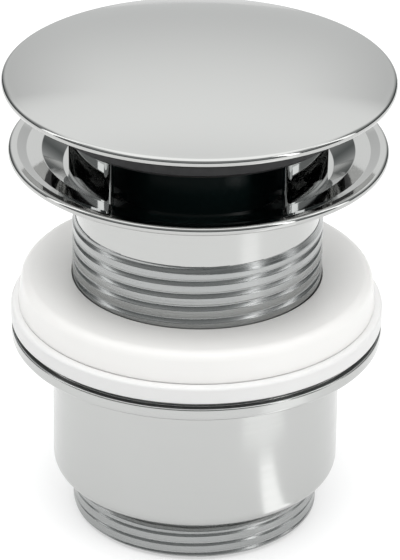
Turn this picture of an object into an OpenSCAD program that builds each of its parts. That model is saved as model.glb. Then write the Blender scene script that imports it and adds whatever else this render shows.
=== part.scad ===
// Pop-up basin waste: a domed cover that a push lowers onto the flange of a
// threaded neck, with a click cartridge inside the neck, and a cup with its
// seals that screws up the neck and clamps the basin.
// Millimetres. The origin is the centre of the outlet's lower end, +Z is up.

/* [Cover] */
// Radius of the domed cover
cover_r = 32.5; // [31:0.1:33.5]
// Rise of the dome above its rim
cover_rise = 3.8; // [3.4:0.1:5]
// Thickness of the cover's rounded rim
cover_rim = 1.5; // [1.2:0.1:1.8]
// Height of the open cover's underside above the flange's middle plane
open_gap = 11.7; // [11.4:0.1:13]
// Distance that the cover moves down when it closes
travel = 7; // [6.5:0.1:8]
// Outer radius of the rubber ring on the cover's collar
cover_seal_r = 25.6; // [25.4:0.05:25.8]

/* [Flange and neck] */
// Radius of the flange
flange_r = 31.5; // [30.5:0.1:33]
// Thickness of the flange's rim
flange_t = 1.4; // [1.2:0.1:1.8]
// Width of the flange's rim, outside its stepped dish
rim_w = 1.5; // [1.2:0.1:1.8]
// Radius of the throat, the bore of the neck
throat_r = 18.3; // [17.9:0.1:18.6]
// Outer radius of the neck's smooth length
neck_r = 20.4; // [20:0.05:20.7]
// Outer radius of the neck's thread and of the outlet's thread
thread_r = 20.95; // [20.8:0.05:21.1]
// Length of smooth neck from the flange's middle plane down
neck_smooth = 11.7; // [9:0.1:14]
// Whole length of the neck below the flange's middle plane
neck_len = 44; // [42:0.5:46]

/* [Seals] */
// Outer radius of the white clamping seal
seal_r = 30.05; // [28.5:0.05:30.5]
// Thickness of the white clamping seal
seal_t = 5.4; // [4:0.1:7]
// How far the slip ring stands out past the cup's flange
slip_over = 0.05; // [0:0.05:0.4]
// Thickness of the slip ring
slip_t = 2.6; // [2:0.1:3.5]
// Height from the seal's top face to the flange's middle plane
grip = 22.8; // [20:0.1:25]

/* [Cup] */
// Outer radius of the cup's wall
cup_r = 24.3; // [23.8:0.1:26]
// Height of the cup's wall from its bottom to its flange
cup_h = 25; // [22:0.5:28]
// How far the cup's flange stands back from the neck's flange
cup_back = 0.2; // [0:0.1:0.6]
// Thickness of the cup's flange
cup_flange_t = 2.7; // [2.2:0.1:3.5]
// Rounding of the cup's bottom edge
cup_round = 3.2; // [2:0.1:3.4]
// Length of the threaded outlet below the cup
outlet_len = 7.8; // [7:0.1:12]
// Radius of the outlet's bore
outlet_bore_r = 17.5; // [17:0.1:18]

/* [Click cartridge] */
// Outer radius of the black plug body under the cover
body_r = 14.4; // [13.4:0.1:14.6]
// Outer radius of the cartridge sleeve
sleeve_r = 8; // [7.6:0.1:8.4]
// Bore radius of the cartridge sleeve
sleeve_bore_r = 6.6; // [6.4:0.05:6.8]
// Radius of the plunger's stem
stem_r = 4.2; // [4:0.05:4.4]
// Radius of the stud that carries the cover
stud_r = 2.5; // [2.3:0.05:2.7]
// Teeth on the plunger and on its cam ring
teeth = 8; // [6:1:10]
// Turns of the return spring
spring_turns = 5.5; // [4:0.5:6]
// Radius of the spring's wire
wire_r = 0.45; // [0.35:0.05:0.5]

/* [Clearances] */
// Gap between pieces that move past each other
gap = 0.3; // [0.25:0.05:0.4]
// Slack of a piece that is pushed over another
slack = 0.05; // [0.03:0.01:0.08]

/* [Hidden] */
$fn = 96;
eps = 0.01;

// Radii that follow the neck's flange
cup_flange_r = flange_r - cup_back;
slip_r = cup_flange_r + slip_over;

// Stack of the clamped pieces, from the outlet's end upwards
z_cup = outlet_len;
z_cup_flange = z_cup + cup_h;
z_cup_top = z_cup_flange + cup_flange_t;
slip_step = 0.9;
z_slip = z_cup_top + slip_step;
z_seal = z_slip + slip_t;
z_seal_top = z_seal + seal_t;
// Middle plane of the flange, the datum of all that is above it
zf = z_seal_top + grip;

// Flange: a rim, then a dish of two steps down to a floor round the throat
z_flange_top = zf + flange_t / 2;
z_flange_under = zf - flange_t / 2;
dish_w = flange_r - rim_w - throat_r;
step1_out = throat_r + dish_w;
step1_in = throat_r + dish_w * 0.863;
step2_out = throat_r + dish_w * 0.65;
step2_in = throat_r + dish_w * 0.35;
step1_drop = 0.6;
step2_drop = 2.7;
z_terrace = z_flange_top - step1_drop;
z_floor = z_terrace - step2_drop;
floor_fall = 0.3;
throat_edge = 0.8;
lip_r = throat_r + throat_edge;
z_lip = z_floor - floor_fall;
// Section of the dish from the throat's edge outwards, and its height at radius r
dish = [
    [lip_r, z_lip], [step2_in, z_floor], [step2_out, z_terrace],
    [step1_in, z_terrace], [step1_out, z_flange_top]
];
function dish_z(r) = lookup(r, dish);
// Posts of the guard crown, which stand on the dish's floor
post_out = throat_r + dish_w * 0.308;
post_in = throat_r + dish_w * 0.145;
post_angle = 37;

// Cover
z_rim = zf + open_gap;
cover_edge_r = cover_r - cover_rim / 2;
z_dome_edge = z_rim + cover_rim;
z_apex = z_dome_edge + cover_rise;
dome_r = (cover_edge_r * cover_edge_r + cover_rise * cover_rise) / (2 * cover_rise);
cover_wall = 1.3;
// Hollow of the cover, which takes the guard crown when it closes
post_room = 1.3;
hollow_r = post_out + post_room;
land_t = 2;
z_land = z_apex - land_t;
// Collar round the hollow, with the rubber ring that meets the dish when closed
collar_lip = 0.5;
collar_out = cover_seal_r + collar_lip;
collar_drop = 3;
z_collar_end = z_rim - collar_drop;
groove_d = 1;
cover_seal_w = 1.2;
cover_seal_in = cover_seal_r - cover_seal_w;

// Boss, stud and plug body
boss_r = 6.5;
shoulder_r = 8.5;
shoulder_t = 1.2;
boss_len = 5;
z_boss = z_land - boss_len;
z_body_plate = z_boss + shoulder_t;
body_plate_t = 1.4;
body_wall = 1.5;
body_drop = 6;
z_body = zf - body_drop;
body_lip = 1.6;
z_body_top = z_body_plate + body_plate_t + body_lip;
clip_t = 0.7;
nut_t = 2;
jam_across = 9.2;
z_stem_top = z_boss - nut_t;
stud_in_stem = 6;
z_stud = z_stem_top - stud_in_stem;
stud_in_boss = 3.4;
boss_room = 0.2;

// Cartridge, hung below the flange's middle plane
cap_t = 1.7;
cap_drop = 3.5;
z_cap = zf - cap_drop;
cam_t = 1.1;
tooth_h = 0.8;
z_cam = z_cap - gap - cam_t;
z_collar_top = z_cam - tooth_h - gap - tooth_h;
collar_t = 1.8;
z_collar = z_collar_top - collar_t;
spring_min = 5.8;
seat_t = 0.6;
z_seat = z_collar - travel - spring_min - seat_t;
floor_t = 1.5;
z_sleeve = z_seat - floor_t;
collar_r = sleeve_bore_r - gap - 0.1;
spring_r = sleeve_bore_r - wire_r - gap - 0.2;

// Cross of the neck that carries the cartridge
hub_r = 7;
hub_t = 4.5;
arm_w = 2.6;
spider_ring_t = 1.6;
z_hub = z_sleeve - hub_t;
spigot_r = 4;
washer_t = 0.8;
hub_nut_t = 3;
hub_across = 13;
z_hub_nut = z_hub - washer_t - hub_nut_t;

// Seat under the flange, and the neck
seat_in_r = 28.8;
seat_depth = 5.8;
z_thread = zf - neck_smooth;
z_neck = zf - neck_len;

// Guard crown: three posts on the dish's floor, footed on a ring in the throat
crown_in = throat_r - 1.3;
crown_h = 3.4;
crown_drop = 2.4;
z_post = z_apex - cover_wall - (dome_r - sqrt(dome_r * dome_r - post_out * post_out)) - travel - 0.5;

// Cup
cup_wall = 2;
nut_r = thread_r + gap;
cup_floor = 2.2;
nut_len = 7;
z_cup_nut = z_cup_flange - nut_len;
step_back = 1.1;
step_r = cup_flange_r - step_back;
relief_r = thread_r - 1.35;
relief_len = 1.8;
outlet_chamfer = 1;
gasket_r = nut_r + 2;
gasket_t = 2;

// Ring of rectangular section
module ring(r_out, r_in, z0, z1) {
    difference() {
        translate([0, 0, z0])
            cylinder(r = r_out, h = z1 - z0);
        translate([0, 0, z0 - 1])
            cylinder(r = r_in, h = z1 - z0 + 2);
    }
}

// Hexagon nut with a plain hole; across is the distance across its corners
module nut(across, hole_r, z0, height) {
    difference() {
        intersection() {
            translate([0, 0, z0])
                cylinder(d = across, h = height, $fn = 6);
            translate([0, 0, z0 + height / 2])
                sphere(r = across * 0.545);
        }
        translate([0, 0, z0 - 1])
            cylinder(r = hole_r, h = height + 2);
    }
}

// Prisms that cut the gaps between saw teeth; z_tip is the teeth's end
module saw_gaps(z_root, z_tip) {
    w = 2.2;
    over = z_tip > z_root ? 1 : -1;
    for (i = [0 : teeth - 1])
        rotate([90, 0, 90 + i * 360 / teeth])
            linear_extrude(2 * sleeve_r)
                polygon([[-w / 2, z_root], [w / 2, z_tip], [w / 2, z_tip + over], [-w / 2, z_tip + over]]);
}

// Section of the cap that a sphere of radius r about the dome's centre cuts off
module dome_section(r, r_max, z_min) {
    intersection() {
        translate([0, z_apex - dome_r])
            circle(r = r, $fn = 1440);
        translate([0, z_min])
            square([r_max, z_apex - z_min + 1]);
    }
}

// Domed cover: a shell of a large sphere with a rounded rim, hollow below
module cover() {
    color("gainsboro")
    difference() {
        union() {
            rotate_extrude()
                dome_section(dome_r, cover_edge_r, z_rim);
            translate([0, 0, z_rim + cover_rim / 2])
                rotate_extrude()
                    translate([cover_edge_r, 0])
                        circle(r = cover_rim / 2);
            ring(collar_out, hollow_r - 0.5, z_collar_end, z_rim + cover_rim / 2);
        }
        difference() {
            rotate_extrude()
                dome_section(dome_r - cover_wall, hollow_r, z_collar_end - 1);
            translate([0, 0, z_land])
                cylinder(r = shoulder_r, h = land_t);
        }
        ring(cover_seal_r + slack, cover_seal_in - slack, z_collar_end - 1, z_collar_end + groove_d);
    }
}

// Rubber ring on the cover's collar, with its end cut to the dish below it
module cover_seal() {
    function end_z(r) = dish_z(r) + travel + gap;
    color("black")
    rotate_extrude()
        polygon([
            [cover_seal_in, z_collar_end + groove_d],
            [cover_seal_in, end_z(cover_seal_in)],
            each [for (p = dish) if (p[0] > cover_seal_in && p[0] < cover_seal_r) [p[0], end_z(p[0])]],
            [cover_seal_r, end_z(cover_seal_r)],
            [cover_seal_r, z_collar_end + groove_d]
        ]);
}

// Threaded boss under the dome's centre, with a shoulder for the plug body
module cover_boss() {
    color("goldenrod")
    difference() {
        union() {
            translate([0, 0, z_boss])
                cylinder(r = boss_r, h = z_land - z_boss);
            translate([0, 0, z_boss])
                cylinder(r = shoulder_r, h = shoulder_t);
        }
        translate([0, 0, z_boss - 1])
            cylinder(r = stud_r + slack, h = stud_in_boss + boss_room + 1);
    }
}

// Spring clip that holds the plug body on the boss, open at one side
module body_clip() {
    z0 = z_body_plate + body_plate_t;
    color("silver")
    difference() {
        ring(shoulder_r, boss_r + slack, z0, z0 + clip_t);
        translate([0, -2, z0 - 1])
            cube([shoulder_r + 1, 4, clip_t + 2]);
    }
}

// Black plug body: a cup with its mouth down, which hides the cartridge
module plug_body() {
    color("dimgray")
    difference() {
        translate([0, 0, z_body])
            cylinder(r = body_r, h = z_body_top - z_body);
        translate([0, 0, z_body - 1])
            cylinder(r = body_r - body_wall, h = z_body_plate - z_body + 1);
        translate([0, 0, z_body_plate + body_plate_t])
            cylinder(r = body_r - body_wall, h = 5);
        translate([0, 0, z_body])
            cylinder(r = boss_r + 2 * slack, h = z_body_top - z_body);
    }
}

// Jam nut between the plunger's stem and the boss
module jam_nut() {
    color("goldenrod")
    nut(jam_across, stud_r + slack, z_stem_top, nut_t);
}

// Stud that joins the plunger to the cover
module stud() {
    color("silver")
    translate([0, 0, z_stud])
        cylinder(r = stud_r, h = z_boss + stud_in_boss - z_stud);
}

// Plunger: a stem with a toothed collar that works on the spring
module plunger() {
    color("goldenrod")
    difference() {
        union() {
            translate([0, 0, z_collar])
                cylinder(r = stem_r, h = z_stem_top - z_collar);
            difference() {
                translate([0, 0, z_collar])
                    cylinder(r = collar_r, h = collar_t + tooth_h);
                saw_gaps(z_collar_top, z_collar_top + tooth_h);
            }
        }
        translate([0, 0, z_stud])
            cylinder(r = stud_r + slack, h = z_stem_top - z_stud + 1);
    }
}

// Cam ring that steps round on the stem at each push
module cam_ring() {
    color("ivory")
    difference() {
        ring(collar_r, stem_r + slack, z_cam - tooth_h, z_cam + cam_t);
        saw_gaps(z_cam, z_cam - tooth_h);
    }
}

// Return spring, a round wire swept along a helix
module spring() {
    steps = 24;
    sides = 8;
    count = floor(spring_turns * steps);
    z0 = z_seat + seat_t + wire_r;
    z1 = z_collar - wire_r;
    points = [
        for (i = [0 : count], k = [0 : sides - 1])
            let (a = i * 360 / steps, b = k * 360 / sides, r = spring_r + wire_r * cos(b))
            [r * cos(a), r * sin(a), z0 + (z1 - z0) * i / count + wire_r * sin(b)]
    ];
    walls = [
        for (i = [0 : count - 1], k = [0 : sides - 1])
            let (n = (k + 1) % sides)
            [i * sides + k, (i + 1) * sides + k, (i + 1) * sides + n, i * sides + n]
    ];
    first_end = [for (k = [0 : sides - 1]) k];
    last_end = [for (k = [0 : sides - 1]) count * sides + sides - 1 - k];
    color("silver")
    polyhedron(points, concat(walls, [first_end, last_end]));
}

// Washer that the spring stands on
module spring_seat() {
    color("silver")
    ring(sleeve_bore_r - 0.2, 3, z_seat, z_seat + seat_t);
}

// Cartridge sleeve: a tube with a floor and a threaded spigot below
module sleeve() {
    color("goldenrod")
    difference() {
        union() {
            translate([0, 0, z_sleeve])
                cylinder(r = sleeve_r, h = z_cap - z_sleeve);
            translate([0, 0, z_hub_nut - 1])
                cylinder(r = spigot_r, h = z_sleeve - z_hub_nut + 1.5);
        }
        translate([0, 0, z_seat])
            cylinder(r = sleeve_bore_r, h = z_cap - z_seat + 1);
    }
}

// Cap of the sleeve, which guides the stem and stops the cam ring
module sleeve_cap() {
    color("goldenrod")
    difference() {
        rotate_extrude()
            polygon([
                [stem_r + gap, z_cap], [sleeve_r, z_cap], [sleeve_r, z_cap + cap_t - 0.6],
                [sleeve_r - 0.6, z_cap + cap_t], [stem_r + gap, z_cap + cap_t]
            ]);
        for (a = [0, 180])
            rotate([0, 0, a])
                translate([sleeve_r - 1, -1, z_cap + cap_t - 0.8])
                    cube([2, 2, 2]);
    }
}

// Cross in the neck: a hub on three arms inside a ring
module spider() {
    color("gainsboro")
    difference() {
        union() {
            ring(throat_r - slack, throat_r - spider_ring_t, z_hub, z_hub + hub_t);
            translate([0, 0, z_hub])
                cylinder(r = hub_r, h = hub_t);
            for (a = [30, 150, 270])
                rotate([0, 0, a + 180])
                    translate([0, -arm_w / 2, z_hub])
                        cube([throat_r - spider_ring_t / 2, arm_w, hub_t]);
        }
        translate([0, 0, z_hub - 1])
            cylinder(r = spigot_r + slack, h = hub_t + 2);
    }
}

// Washer and nut that hold the sleeve on the cross
module hub_washer() {
    color("silver")
    ring(hub_r - 0.3, spigot_r + slack, z_hub - washer_t, z_hub);
}

module hub_nut() {
    color("goldenrod")
    nut(hub_across, spigot_r + slack, z_hub_nut, hub_nut_t);
}

// Flange with its dish, and the neck below it
module flange_neck() {
    edge_r = flange_r - flange_t / 2;
    color("gainsboro")
    union() {
        rotate_extrude()
            polygon([
                [throat_r, z_neck + 0.8], [throat_r + 0.8, z_neck],
                [thread_r - 0.8, z_neck], [thread_r, z_neck + 0.8],
                [thread_r, z_thread - 0.5], [neck_r, z_thread],
                [neck_r, zf - seat_depth], [seat_in_r, z_flange_under],
                [edge_r, z_flange_under], [edge_r, z_flange_top],
                each [for (i = [len(dish) - 1 : -1 : 0]) dish[i]],
                [throat_r, z_lip - throat_edge]
            ]);
        translate([0, 0, zf])
            rotate_extrude()
                translate([edge_r, 0])
                    circle(r = flange_t / 2);
    }
}

// Guard crown: posts that stand in the dish, footed on a ring in the throat
module guard_crown() {
    foot_in = crown_in + 0.3;
    foot_out = throat_r - 2 * slack;
    z_ring_top = z_lip - throat_edge - crown_drop;
    color("gainsboro")
    union() {
        ring(throat_r - slack, crown_in, z_ring_top - crown_h, z_ring_top);
        for (a = [30, 150, 270])
            rotate([0, 0, a + 180 - post_angle / 2])
                rotate_extrude(angle = post_angle)
                    polygon([
                        [foot_in, z_ring_top - 1.5], [foot_out, z_ring_top - 1.5],
                        [foot_out, z_lip - throat_edge + slack], [lip_r, z_lip + slack],
                        [post_out, dish_z(post_out) + slack],
                        [post_out, z_post], [post_in, z_post],
                        [post_in, z_floor + 1.4], [foot_in, z_floor + 0.4]
                    ]);
    }
}

// White clamping seal with a soft top edge and slightly leaning side
module seal_ring() {
    round_r = 1.6;
    lean = 0.5;
    edge_r = seal_r - lean - round_r;
    edge_z = z_seal_top - round_r;
    color("whitesmoke")
    rotate_extrude()
        polygon(concat(
            [[nut_r, z_seal], [seal_r, z_seal]],
            [for (a = [0 : 10 : 90]) [edge_r + round_r * cos(a), edge_z + round_r * sin(a)]],
            [[nut_r, z_seal_top]]
        ));
}

// Slip ring that lets the cup turn under the seal
module slip_ring() {
    bevel = 0.4;
    color("whitesmoke")
    rotate_extrude()
        polygon([
            [nut_r, z_slip], [slip_r - bevel, z_slip], [slip_r, z_slip + bevel],
            [slip_r, z_seal - bevel], [slip_r - bevel, z_seal], [nut_r, z_seal]
        ]);
}

// Cup: a flange nut on the neck that carries the outlet below its bowl
module cup() {
    inner_r = cup_r - cup_wall;
    color("gainsboro")
    difference() {
        union() {
            rotate_extrude()
                polygon([
                    [0, 0], [thread_r - outlet_chamfer, 0], [thread_r, outlet_chamfer],
                    [thread_r, outlet_len - relief_len], [relief_r, outlet_len - relief_len],
                    [relief_r, z_cup], [cup_r - cup_round, z_cup],
                    [cup_r - cup_round, z_cup + cup_round], [cup_r, z_cup + cup_round],
                    [cup_r, z_cup_flange - 0.8], [cup_r + 0.8, z_cup_flange],
                    [cup_flange_r - 0.8, z_cup_flange], [cup_flange_r, z_cup_flange + 0.8],
                    [cup_flange_r, z_cup_top - 0.3], [cup_flange_r - 0.3, z_cup_top],
                    [step_r, z_cup_top], [step_r, z_slip], [0, z_slip]
                ]);
            translate([0, 0, z_cup + cup_round])
                rotate_extrude()
                    translate([cup_r - cup_round, 0])
                        intersection() {
                            circle(r = cup_round);
                            translate([0, -cup_round])
                                square(cup_round);
                        }
        }
        rotate_extrude()
            polygon([
                [0, -1], [outlet_bore_r, -1], [outlet_bore_r, z_cup + cup_floor],
                [inner_r - 1, z_cup + cup_floor + 1.5], [inner_r, z_cup + cup_floor + 3],
                [inner_r, z_cup_nut - 1], [nut_r, z_cup_nut], [nut_r, z_slip - gasket_t - 0.3],
                [gasket_r, z_slip - gasket_t - 0.3], [gasket_r, z_slip + 1], [0, z_slip + 1]
            ]);
    }
}

// Flat gasket in the mouth of the cup
module cup_gasket() {
    color("black")
    ring(gasket_r - slack, nut_r + slack, z_slip - gasket_t - 0.3, z_slip - 0.3);
}

cover();
cover_seal();
cover_boss();
body_clip();
plug_body();
jam_nut();
stud();
plunger();
cam_ring();
spring();
spring_seat();
sleeve();
sleeve_cap();
spider();
hub_washer();
hub_nut();
flange_neck();
guard_crown();
seal_ring();
slip_ring();
cup();
cup_gasket();
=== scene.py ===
import math

import bmesh
import bpy
from mathutils import Matrix, Vector


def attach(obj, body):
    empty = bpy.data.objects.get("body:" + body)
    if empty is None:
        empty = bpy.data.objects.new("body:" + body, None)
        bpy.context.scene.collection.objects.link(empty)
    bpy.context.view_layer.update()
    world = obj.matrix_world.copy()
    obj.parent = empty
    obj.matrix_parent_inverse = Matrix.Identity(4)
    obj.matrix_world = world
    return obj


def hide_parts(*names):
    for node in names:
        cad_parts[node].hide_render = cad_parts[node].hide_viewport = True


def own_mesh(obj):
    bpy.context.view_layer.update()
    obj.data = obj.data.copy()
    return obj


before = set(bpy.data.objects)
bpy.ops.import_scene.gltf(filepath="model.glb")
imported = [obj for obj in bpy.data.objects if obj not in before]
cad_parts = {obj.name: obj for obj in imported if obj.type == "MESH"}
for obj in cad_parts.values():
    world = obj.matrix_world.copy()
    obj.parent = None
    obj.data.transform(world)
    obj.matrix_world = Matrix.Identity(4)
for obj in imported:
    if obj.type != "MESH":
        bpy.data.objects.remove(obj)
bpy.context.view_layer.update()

MM = 0.001

# Sizes in millimetres, with heights from the bottom of the outlet
zf = 67.2  # middle plane of the flange
flange_r, flange_t = 31.5, 1.4
throat_r, lip_r = 18.3, 19.1
step1_out, step1_in, step2_out, step2_in = 30.0, 28.397, 25.905, 22.395
z_flange_low, z_flange_top = zf - flange_t / 2, zf + flange_t / 2
z_terrace, z_floor, z_lip = zf + 0.1, zf - 2.6, zf - 2.9
neck_r, thread_r, root_r, pitch = 20.4, 20.95, 20.5, 2.309
z_thread, z_neck = zf - 11.7, zf - 44.0
cover_r, cover_rise, cover_rim = 32.5, 3.8, 1.5
z_rim = zf + 11.7
z_apex = z_rim + cover_rim + cover_rise
z_cup, z_cup_flange, z_cup_top = 7.8, 32.8, 35.1
z_slip, z_seal, z_seal_top = 36.0, 39.0, 44.4


# Meshes
def rounded(corners, steps=6):
    """Closed section from (radius, height, rounding) corners.

    Close points beside each rounding keep the flats flat."""
    beside, longest = 0.03, 0.48
    out = []
    n = len(corners)
    for i, (x, z, rad) in enumerate(corners):
        p = Vector((x, z))
        if rad <= 0:
            out.append(p)
            continue
        a = Vector(corners[i - 1][:2]) - p
        b = Vector(corners[(i + 1) % n][:2]) - p
        half = a.angle(b) / 2
        reach = min(rad / math.tan(half), longest * a.length, longest * b.length)
        rad = reach * math.tan(half)
        a.normalize()
        b.normalize()
        centre = p + (a + b).normalized() * (rad / math.sin(half))
        start, end = p + a * reach, p + b * reach
        out.append(start + a * beside)
        v0, v1 = start - centre, end - centre
        turn = v0.angle_signed(v1)
        for k in range(steps + 1):
            t = -turn * k / steps
            c, s = math.cos(t), math.sin(t)
            out.append(centre + Vector((v0.x * c - v0.y * s, v0.x * s + v0.y * c)))
        out.append(end + b * beside)
    return [(v.x, v.y) for v in out]


def finish_mesh(name, verts, faces, smooth=True):
    """Object with a clean mesh from points in millimetres."""
    mesh = bpy.data.meshes.new(name)
    mesh.from_pydata([(x * MM, y * MM, z * MM) for x, y, z in verts], [], faces)
    bm = bmesh.new()
    bm.from_mesh(mesh)
    bmesh.ops.remove_doubles(bm, verts=bm.verts, dist=1e-7)
    bmesh.ops.dissolve_degenerate(bm, edges=bm.edges, dist=1e-8)
    bmesh.ops.recalc_face_normals(bm, faces=bm.faces)
    for face in bm.faces:
        face.smooth = smooth
    bm.to_mesh(mesh)
    bm.free()
    obj = bpy.data.objects.new(name, mesh)
    bpy.context.scene.collection.objects.link(obj)
    return obj


def lathe(name, section, columns=256):
    """Turned solid from a closed section of (radius, height) points."""
    verts, faces = [], []
    k = len(section)
    for i in range(columns):
        t = 2 * math.pi * i / columns
        c, s = math.cos(t), math.sin(t)
        verts += [(r * c, r * s, z) for r, z in section]
    for i in range(columns):
        j = (i + 1) % columns
        for q in range(k):
            p = (q + 1) % k
            if section[q][0] < 1e-6 and section[p][0] < 1e-6:
                continue
            faces.append((i * k + q, j * k + q, j * k + p, i * k + p))
    return finish_mesh(name, verts, faces)


def thread_profile(land=0.50, flank=0.40, steps=8):
    """Points of (share of a pitch, share of the depth): crest, hollow upper flank, root, lower flank."""
    edge = land + 0.02
    points = [(land * i / steps, 1.0) for i in range(steps + 1)]
    points += [(edge + flank * i / steps, (1 - i / steps) ** 2) for i in range(steps + 1)]
    return points + [(0.95, 0.08), (0.98, 0.92)]


def screw_thread(name, z0, z1, pitch, crest, root, end_r, taper, columns=192):
    """Helical thread between z0 and z1, tapered at both ends down to the radius end_r."""
    shape = thread_profile()
    tuck = end_r - 0.3
    rows_per = len(shape)
    turns = math.ceil((z1 - z0) / pitch) + 2
    rows = rows_per * turns
    verts, faces = [], []
    for i in range(columns):
        t = 2 * math.pi * i / columns
        c, s = math.cos(t), math.sin(t)
        for k in range(rows):
            u, h = shape[k % rows_per]
            z = z0 + pitch * (k // rows_per + u - 1 + i / columns)
            r = min(root + (crest - root) * h, end_r + taper * min(z - z0, z1 - z))
            if z <= z0 or z >= z1:
                z, r = min(max(z, z0), z1), tuck
            verts.append((r * c, r * s, z))
    for i in range(columns):
        last = i == columns - 1
        for k in range(rows - 1):
            if not last:
                a, b = i * rows + k, (i + 1) * rows + k
            elif k + rows_per + 1 < rows:
                a, b = i * rows + k, k + rows_per
            else:
                continue
            faces.append((a, b, b + 1, a + 1))
    return finish_mesh(name, verts, faces)


def sector(name, section, middle, width, columns=24):
    """Part of a turned solid, width degrees wide about the angle middle."""
    verts, faces = [], []
    k = len(section)
    for i in range(columns + 1):
        t = math.radians(middle + width * (i / columns - 0.5))
        c, s = math.cos(t), math.sin(t)
        verts += [(r * c, r * s, z) for r, z in section]
    for i in range(columns):
        for q in range(k):
            p = (q + 1) % k
            faces.append((i * k + q, (i + 1) * k + q, (i + 1) * k + p, i * k + p))
    faces.append(tuple(range(k)))
    faces.append(tuple(columns * k + q for q in range(k)))
    return finish_mesh(name, verts, faces, False)


def post(name, middle, width, r_in, r_out, z0, z1, corner):
    """Curved upright with rounded long edges."""
    r_mid = (r_in + r_out) / 2
    w = math.radians(width) * r_mid
    plan = rounded([
        (-w / 2, r_in, corner), (w / 2, r_in, corner), (w / 2, r_out, corner), (-w / 2, r_out, corner)], 8)
    longest, end_band = 0.4, 0.05
    fine = []
    for i, (u, v) in enumerate(plan):
        u2, v2 = plan[(i + 1) % len(plan)]
        n = max(1, int(math.hypot(u2 - u, v2 - v) / longest))
        fine += [(u + (u2 - u) * q / n, v + (v2 - v) * q / n) for q in range(n)]
    verts, faces = [], []
    k = len(fine)
    for z in (z0, z0 + end_band, z1 - end_band, z1):
        for u, v in fine:
            t = math.radians(middle) + u / r_mid
            verts.append((v * math.cos(t), v * math.sin(t), z))
    for i in range(3):
        for q in range(k):
            p = (q + 1) % k
            faces.append((i * k + q, i * k + p, (i + 1) * k + p, (i + 1) * k + q))
    faces.append(tuple(range(k)))
    faces.append(tuple(3 * k + q for q in range(k)))
    return finish_mesh(name, verts, faces)


def join(name, *objs):
    """One object from the meshes of several, which are removed."""
    bm = bmesh.new()
    for o in objs:
        bm.from_mesh(o.data)
    mesh = bpy.data.meshes.new(name)
    bm.to_mesh(mesh)
    bm.free()
    for o in objs:
        old = o.data
        bpy.data.objects.remove(o)
        bpy.data.meshes.remove(old)
    obj = bpy.data.objects.new(name, mesh)
    bpy.context.scene.collection.objects.link(obj)
    return obj


# Materials
def material(name, colour, rough, metal=0.0, grain=None, bump=None, stretch=None):
    """Procedural finish. The grain is (noise scale, lowest roughness, highest roughness)."""
    m = bpy.data.materials.new(name)
    m.use_nodes = True
    nt = m.node_tree
    b = nt.nodes["Principled BSDF"]
    b.inputs["Base Color"].default_value = (*colour, 1.0)
    b.inputs["Metallic"].default_value = metal
    b.inputs["Roughness"].default_value = rough
    if grain:
        scale, low, high = grain
        tc = nt.nodes.new("ShaderNodeTexCoord")
        noise = nt.nodes.new("ShaderNodeTexNoise")
        noise.inputs["Scale"].default_value = scale
        noise.inputs["Detail"].default_value = 3.0
        span = nt.nodes.new("ShaderNodeMapRange")
        span.inputs["From Min"].default_value = 0.3
        span.inputs["From Max"].default_value = 0.7
        span.inputs["To Min"].default_value = low
        span.inputs["To Max"].default_value = high
        coords = tc.outputs["Object"]
        if stretch:
            mapping = nt.nodes.new("ShaderNodeMapping")
            mapping.inputs["Scale"].default_value = stretch
            nt.links.new(coords, mapping.inputs["Vector"])
            coords = mapping.outputs["Vector"]
        nt.links.new(coords, noise.inputs["Vector"])
        nt.links.new(noise.outputs["Fac"], span.inputs["Value"])
        nt.links.new(span.outputs["Result"], b.inputs["Roughness"])
        if bump:
            bp = nt.nodes.new("ShaderNodeBump")
            bp.inputs["Strength"].default_value = bump
            bp.inputs["Distance"].default_value = 0.0001
            nt.links.new(noise.outputs["Fac"], bp.inputs["Height"])
            nt.links.new(bp.outputs["Normal"], b.inputs["Normal"])
    return m


chrome = material("chrome", (0.45, 0.452, 0.444), 0.07, 1.0, (180.0, 0.05, 0.09))
satin_grain, thread_grain = (60.0, 0.16, 0.24), (60.0, 0.20, 0.32)
cup_lines, neck_lines, thread_lines = (1.0, 1.0, 30.0), (1.0, 1.0, 40.0), (1.0, 1.0, 60.0)
cup_chrome = material("cup_chrome", (0.455, 0.459, 0.452), 0.2, 1.0, satin_grain, 0.02, cup_lines)
neck_satin = material("neck_satin", (0.47, 0.473, 0.465), 0.2, 1.0, satin_grain, 0.03, neck_lines)
thread_satin = material("thread_satin", (0.355, 0.362, 0.36), 0.25, 1.0, thread_grain, 0.10, thread_lines)
post_chrome = material("post_chrome", (0.55, 0.56, 0.56), 0.04, 1.0, (60.0, 0.035, 0.045))
# Dark metal used as painted shade on the ledge in the groove under the slip ring, where the part is only
# shadowed
painted_groove_shade = material("painted_groove_shade", (0.15, 0.155, 0.155), 0.45, 1.0, (300.0, 0.4, 0.5))
brass = material("brass", (0.72, 0.55, 0.27), 0.25, 1.0, (300.0, 0.2, 0.3))
steel = material("steel", (0.55, 0.55, 0.56), 0.25, 1.0, (300.0, 0.2, 0.3))
black_rubber = material("black_rubber", (0.012, 0.012, 0.013), 0.55, 0.0, (900.0, 0.5, 0.62))
black_plastic = material("black_plastic", (0.008, 0.022, 0.022), 0.35, 0.0, (900.0, 0.34, 0.36))
white_rubber = material("white_rubber", (0.78, 0.77, 0.755), 0.4, 0.0, (900.0, 0.35, 0.45), 0.06)
white_plastic = material("white_plastic", (0.69, 0.685, 0.68), 0.4, 0.0, (900.0, 0.38, 0.42))

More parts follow.
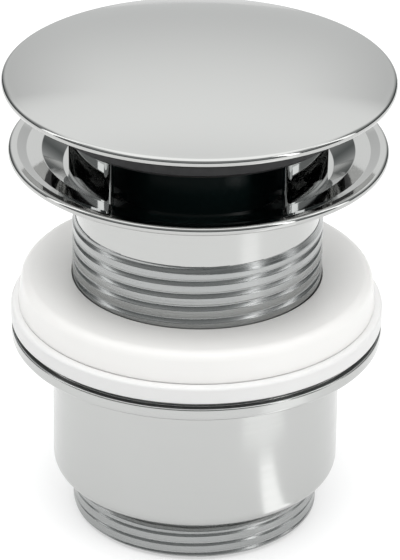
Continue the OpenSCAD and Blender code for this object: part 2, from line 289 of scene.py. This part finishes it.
FINISH = {
    "chrome": chrome, "brass": brass, "steel": steel, "black_rubber": black_rubber,
    "black_plastic": black_plastic, "white_rubber": white_rubber, "white_plastic": white_plastic,
}
NODE_FINISH = {
    "cover": "chrome", "flange_neck": "chrome", "guard_crown": "chrome", "spider": "chrome", "cup": "chrome",
    "cover_boss": "brass", "jam_nut": "brass", "plunger": "brass",
    "sleeve": "brass", "sleeve_cap": "brass", "hub_nut": "brass",
    "body_clip": "steel", "stud": "steel", "spring": "steel", "spring_seat": "steel", "hub_washer": "steel",
    "cover_seal": "black_rubber", "cup_gasket": "black_rubber", "plug_body": "black_plastic",
    "seal_ring": "white_rubber", "slip_ring": "white_plastic", "cam_ring": "white_plastic",
}
for name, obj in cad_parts.items():
    obj.data.materials.clear()
    obj.data.materials.append(FINISH[NODE_FINISH[name]])


def stand_in(obj, node, body, finish):
    """Shows obj in place of a CAD node, moving with that body."""
    obj.data.materials.clear()
    obj.data.materials.append(finish)
    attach(obj, body)
    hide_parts(node)
    return obj


# Cover
shell, collar_h, groove_d, boss_d = 1.3, 3.0, 1.0, 2.0
collar_r, groove_out, groove_in, collar_in, boss_r = 26.1, 25.65, 24.35, 23.2, 8.5
dome_steps, rim_steps, hollow_steps = 40, 16, 16
edge_r = cover_r - cover_rim / 2
dome_r = (edge_r ** 2 + cover_rise ** 2) / (2 * cover_rise)
z_dome = z_apex - dome_r
hollow = dome_r - shell
z_collar = z_rim - collar_h


def dome(r, radius):
    """Height at r of a sphere of that radius about the dome's centre."""
    return z_dome + math.sqrt(radius ** 2 - r ** 2)


section = [(0.0, z_apex)]
for i in range(1, dome_steps + 1):
    r = edge_r * i / dome_steps
    section.append((r, dome(r, dome_r)))
lean = math.asin(edge_r / dome_r)
for i in range(1, rim_steps + 1):
    t = math.pi / 2 - lean - (math.pi - lean) * i / rim_steps
    section.append((edge_r + cover_rim / 2 * math.cos(t), z_rim + cover_rim / 2 * (1 + math.sin(t))))
section += [
    (collar_r + 0.05, z_rim), (collar_r, z_rim - 0.05), (collar_r, z_collar + 0.25),
    (collar_r - 0.08, z_collar + 0.07), (collar_r - 0.25, z_collar), (groove_out, z_collar),
    (groove_out, z_collar + groove_d), (groove_in, z_collar + groove_d), (groove_in, z_collar),
    (collar_in + 0.15, z_collar), (collar_in, z_collar + 0.15),
]
for i in range(hollow_steps + 1):
    r = collar_in - (collar_in - boss_r) * i / hollow_steps
    section.append((r, dome(r, hollow)))
section += [(boss_r, z_apex - boss_d), (0.0, z_apex - boss_d)]
cover = stand_in(lathe("cover_shown", section), "cover", "plug", chrome)

# Flange and neck
z_cut = 40.0  # lower end of the modelled thread, inside the seals
core_r, cone_r, z_cone = neck_r - 0.1, 28.8, zf - 5.8
rim_round, step_round, lip_round = 0.66, 0.3, 0.4
core = rounded([
    (throat_r, z_neck, 0.3), (thread_r, z_neck, 0.6), (thread_r, z_cut, 0.0), (core_r, z_cut, 0.0),
    (core_r, z_thread - 0.7, 0.0), (neck_r, z_thread - 0.6, 0.05),
    (neck_r, z_cone, 0.8), (cone_r, z_flange_low, 0.5),
    (flange_r, z_flange_low, rim_round), (flange_r, z_flange_top, rim_round),
    (step1_out, z_flange_top, step_round), (step1_in, z_terrace, step_round),
    (step2_out, z_terrace, step_round), (step2_in, z_floor, step_round),
    (lip_r, z_lip, lip_round), (throat_r, z_lip - 0.8, lip_round),
])
neck = join("flange_neck_shown", lathe("neck_core", core),
            screw_thread("neck_thread", z_cut, z_thread, pitch, thread_r, root_r, neck_r, 0.45))
stand_in(neck, "flange_neck", "neck", chrome)
neck.data.materials.append(neck_satin)
neck.data.materials.append(thread_satin)
z_satin = zf - 5.0
for face in neck.data.polygons:
    face.material_index = sum(face.center.z < z * MM for z in (z_satin, z_thread))

# Guard crown
post_in, post_out, post_width, post_corner = 20.0, 21.9, 37.0, 0.85
post_room = 7.5  # from the post's top up to the cover's hollow, at rest
ring_in, ring_out, ring_h, ring_round = 17.0, 18.25, 3.4, 0.2
foot_in, foot_neck, foot_back, foot_out = 17.3, 18.2, 20.3, 21.6
z_post = dome(post_out, hollow) - post_room
z_crown = z_lip - 3.2
foot = [
    (foot_in, z_crown - 1.5), (foot_neck, z_crown - 1.5), (foot_neck, z_lip - 0.75), (lip_r, z_lip + 0.05),
    (foot_out, z_floor - 0.1), (foot_out, zf), (foot_back, zf),
    (foot_back, z_floor + 1.4), (foot_in, z_floor + 0.4),
]
ring = [(ring_in, z_crown - ring_h), (ring_out, z_crown - ring_h), (ring_out, z_crown), (ring_in, z_crown)]
parts = [lathe("crown_ring", rounded([(r, z, ring_round) for r, z in ring]), 128)]
for angle in (210, 330, 90):
    parts.append(post("crown_post", angle, post_width, post_in, post_out, z_lip, z_post, post_corner))
    parts.append(sector("crown_foot", foot, angle, post_width - 1.0))
crown = stand_in(join("guard_crown_shown", *parts), "guard_crown", "neck", post_chrome)

# Cup
outlet, outlet_core, outlet_neck, outlet_bore = 20.95, 19.95, 19.6, 17.5
z_outlet_low, z_outlet, outlet_pitch = 0.35, 6.1, 1.85
wall_r, cup_flange_r, spigot_r, mouth_r = 24.3, 31.3, 30.2, 23.25
cup_thread_r, inner_r = 21.25, 22.3
z_mouth = z_slip - 2.3
bowl = rounded([
    (outlet_bore, 0.0, 0.3), (outlet_core, 0.0, 0.2), (outlet_core, 0.9, 0.0), (outlet_core - 0.05, 6.0, 0.0),
    (outlet_neck, 6.2, 0.2), (outlet_neck, z_cup, 0.3), (wall_r, z_cup, 3.2), (wall_r, z_cup_flange, 0.8),
    (cup_flange_r, z_cup_flange, 0.8), (cup_flange_r, z_cup_top, 0.35), (spigot_r, z_cup_top, 0.1),
    (spigot_r, z_slip, 0.1), (mouth_r, z_slip, 0.1), (mouth_r, z_mouth, 0.0), (cup_thread_r, z_mouth, 0.0),
    (cup_thread_r, z_cup_flange - 7, 0.2), (inner_r, z_cup_flange - 8, 0.3), (inner_r, z_cup + 5.2, 1.0),
    (inner_r - 1.0, z_cup + 3.7, 1.0), (outlet_bore, z_cup + 2.2, 0.3),
], steps=8)
cup = join("cup_shown", lathe("cup_bowl", bowl),
           screw_thread("outlet_thread", z_outlet_low, z_outlet, outlet_pitch,
                        outlet, outlet - 0.28, outlet - 0.5, 1.0))
stand_in(cup, "cup", "cup", cup_chrome)
cup.data.materials.append(thread_satin)
cup.data.materials.append(painted_groove_shade)
THREAD, GROOVE_SHADE = 1, 2
for face in cup.data.polygons:
    face.material_index = THREAD if face.center.z < z_outlet * MM else 0
    # Upward faces at the cup's top, in the groove under the slip ring, take the painted groove shade
    if face.normal.z > 0.9 and face.center.z > (z_cup_top - 0.1) * MM:
        face.material_index = GROOVE_SHADE

# Seals
seal_in, seal_r, seal_top_r = 21.05, 30.05, 29.55
slip_in, slip_r, slip_round = 21.25, 31.35, 0.5
seal = lathe("seal_shown", rounded([
    (seal_in, z_seal, 0.2), (seal_r, z_seal, 0.3),
    (seal_top_r, z_seal_top, 1.6), (seal_in, z_seal_top, 0.15)]))
stand_in(seal, "seal_ring", "clamp", white_rubber)
slip = lathe("slip_shown", rounded([
    (slip_in, z_slip, 0.1), (slip_r, z_slip, slip_round),
    (slip_r, z_seal, slip_round), (slip_in, z_seal, 0.1)]))
stand_in(slip, "slip_ring", "clamp", white_plastic)

# Return spring, which the cover presses together
spring_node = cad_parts["spring"]
spring_mesh = spring_node.data.copy()
spring_mesh.transform(spring_node.matrix_world)
spring = bpy.data.objects.new("spring_shown", spring_mesh)
bpy.context.scene.collection.objects.link(spring)
stand_in(spring, "spring", "neck", steel)
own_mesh(spring)

# Stage
FLOOR_HALF, FLOOR_GLOW = 40.0, 0.5
floor_mesh = bpy.data.meshes.new("floor")
floor_corners = [(FLOOR_HALF * x, FLOOR_HALF * y, 0) for x, y in ((-1, -1), (1, -1), (1, 1), (-1, 1))]
floor_mesh.from_pydata(floor_corners, [], [(0, 1, 2, 3)])
floor = bpy.data.objects.new("floor", floor_mesh)
bpy.context.scene.collection.objects.link(floor)
floor.location.z = -0.0002
paper = material("floor_paper", (0.50, 0.50, 0.50), 0.9)
paper_inputs = paper.node_tree.nodes["Principled BSDF"].inputs
paper_inputs["Emission Color"].default_value = (1.0, 1.0, 1.0, 1.0)
paper_inputs["Emission Strength"].default_value = FLOOR_GLOW
floor_mesh.materials.append(paper)

# World: bright behind and above, dark in front and at the sides
SIDE_DARK, FRONT_DARK, PANEL_DARK = 0.10, 0.012, 0.06
SKY_LOW, SKY_HIGH = 1.02, 1.86
LIFT_LOW, LIFT_HIGH = 0.06, 0.45
world = bpy.data.worlds.new("studio")
bpy.context.scene.world = world
world.use_nodes = True
nt = world.node_tree
nt.nodes.clear()
tc = nt.nodes.new("ShaderNodeTexCoord")
sep = nt.nodes.new("ShaderNodeSeparateXYZ")
nt.links.new(tc.outputs["Generated"], sep.inputs[0])


def span(value, low, high, out_low, out_high):
    """Smooth step from out_low at low to out_high at high."""
    n = nt.nodes.new("ShaderNodeMapRange")
    n.interpolation_type = "SMOOTHSTEP"
    for key, v in (("From Min", low), ("From Max", high), ("To Min", out_low), ("To Max", out_high)):
        n.inputs[key].default_value = v
    nt.links.new(value, n.inputs["Value"])
    return n.outputs["Result"]


def math_node(kind, *values):
    n = nt.nodes.new("ShaderNodeMath")
    n.operation = kind
    for value, socket in zip(values, n.inputs):
        nt.links.new(value, socket)
    return n.outputs[0]


axis_y, axis_z = sep.outputs["Y"], sep.outputs["Z"]
behind = span(axis_y, 0.10, 0.75, SIDE_DARK, 1.0)
above = span(axis_z, 0.60, 0.85, 0.0, 1.0)
open_sky = math_node("MAXIMUM", behind, above)
front = span(axis_y, -0.62, -0.40, FRONT_DARK, 1.0)
across = math_node("ABSOLUTE", sep.outputs["X"])
panel = math_node("MAXIMUM", span(across, 0.11, 0.54, 1.0, PANEL_DARK), span(axis_z, 0.28, 0.58, 0.0, 1.0))
bright = math_node("MULTIPLY", open_sky, front)
bright = math_node("MULTIPLY", bright, span(axis_z, 0.0, 0.80, SKY_LOW, SKY_HIGH))
bright = math_node("MULTIPLY", bright, panel)
lift = span(axis_z, 0.08, 0.45, LIFT_LOW, LIFT_HIGH)
bright = math_node("MAXIMUM", bright, lift)
bg = nt.nodes.new("ShaderNodeBackground")
dusk = nt.nodes.new("ShaderNodeBackground")
dusk.inputs["Color"].default_value = (0.001, 0.012, 0.012, 1.0)
both = nt.nodes.new("ShaderNodeAddShader")
out = nt.nodes.new("ShaderNodeOutputWorld")
nt.links.new(bright, bg.inputs["Strength"])
nt.links.new(bg.outputs[0], both.inputs[0])
nt.links.new(dusk.outputs[0], both.inputs[1])
nt.links.new(both.outputs[0], out.inputs[0])


# Lights, in metres and watts
def area_light(name, place, aim, size_x, size_y, watts):
    data = bpy.data.lights.new(name, "AREA")
    data.shape = "RECTANGLE"
    data.size, data.size_y, data.energy = size_x, size_y, watts
    obj = bpy.data.objects.new(name, data)
    obj.location = place
    obj.rotation_mode = "QUATERNION"
    obj.rotation_quaternion = (Vector(aim) - Vector(place)).to_track_quat("-Z", "Y")
    bpy.context.scene.collection.objects.link(obj)
    return obj


area_light("top_box", (0.0, 0.1, 1.2), (0, 0, 0), 1.2, 1.2, 1.5)
fill = area_light("front_fill", (0.0, -0.586, 1.42), (0, 0, 0.04), 0.9, 0.9, 12.5)
fill.visible_glossy = False
for side in (-1, 1):
    fill = area_light("side_fill", (0.75 * side, -0.15, 1.2), (0, 0, 0.03), 0.8, 0.8, 1.5 - 0.6 * side)
    fill.visible_glossy = False
for side in (-1, 1):
    area_light("side_strip", (0.6 * side, 0.0, 0.36), (0, 0, 0.07), 0.12, 0.60, 0.45)
area_light("right_strip", (0.55, -0.42, 0.35), (0, 0, 0.03), 0.10, 0.6, 0.6)
card = math.radians(47.0)
CARDS = ((0.110, 0.10, 0.036, 0.0035), (0.041, 0.028, 0.009, 0.0006))
for distance, length, width, watts in CARDS:
    place = (distance * math.sin(card), -distance * math.cos(card), 0.001)
    spot = area_light("floor_card", place, (0, 0, 0), width, length, watts)
    spot.rotation_mode = "XYZ"
    spot.rotation_euler = (math.pi, 0.0, card)
    spot.visible_camera = False

# Camera, fitted to the photo's ellipses
CAM_DISTANCE, FOCAL_PIXELS, PICTURE_HEIGHT, SENSOR = 0.6018, 3573.0, 560.0, 36.0
el = math.radians(27.68)
roll = math.radians(0.762)
aim = Vector((0.000517, 0.0, 0.0424))
back = Vector((0.0, -math.cos(el), math.sin(el)))
right = Vector((1.0, 0.0, 0.0))
upv = back.cross(right)
cr = right * math.cos(roll) + upv * math.sin(roll)
cu = upv * math.cos(roll) - right * math.sin(roll)
cam_data = bpy.data.cameras.new("camera")
cam = bpy.data.objects.new("camera", cam_data)
bpy.context.scene.collection.objects.link(cam)
turn = Matrix((cr, cu, back)).transposed().to_4x4()
cam.matrix_world = Matrix.Translation(aim + back * CAM_DISTANCE) @ turn
cam_data.sensor_width = SENSOR
cam_data.lens = FOCAL_PIXELS / PICTURE_HEIGHT * SENSOR
cam_data.clip_start, cam_data.clip_end = 0.01, 200.0
bpy.context.scene.camera = cam
bpy.context.scene.view_settings.view_transform = "Standard"

# Parts shown: the CAD nodes not hidden, and the stand-ins
bpy.context.view_layer.update()
hidden = {"cover", "flange_neck", "guard_crown", "cup", "seal_ring", "slip_ring", "spring"}
shown = [o for n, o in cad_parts.items() if n not in hidden]
shown += [cover, neck, crown, cup, seal, slip, spring]
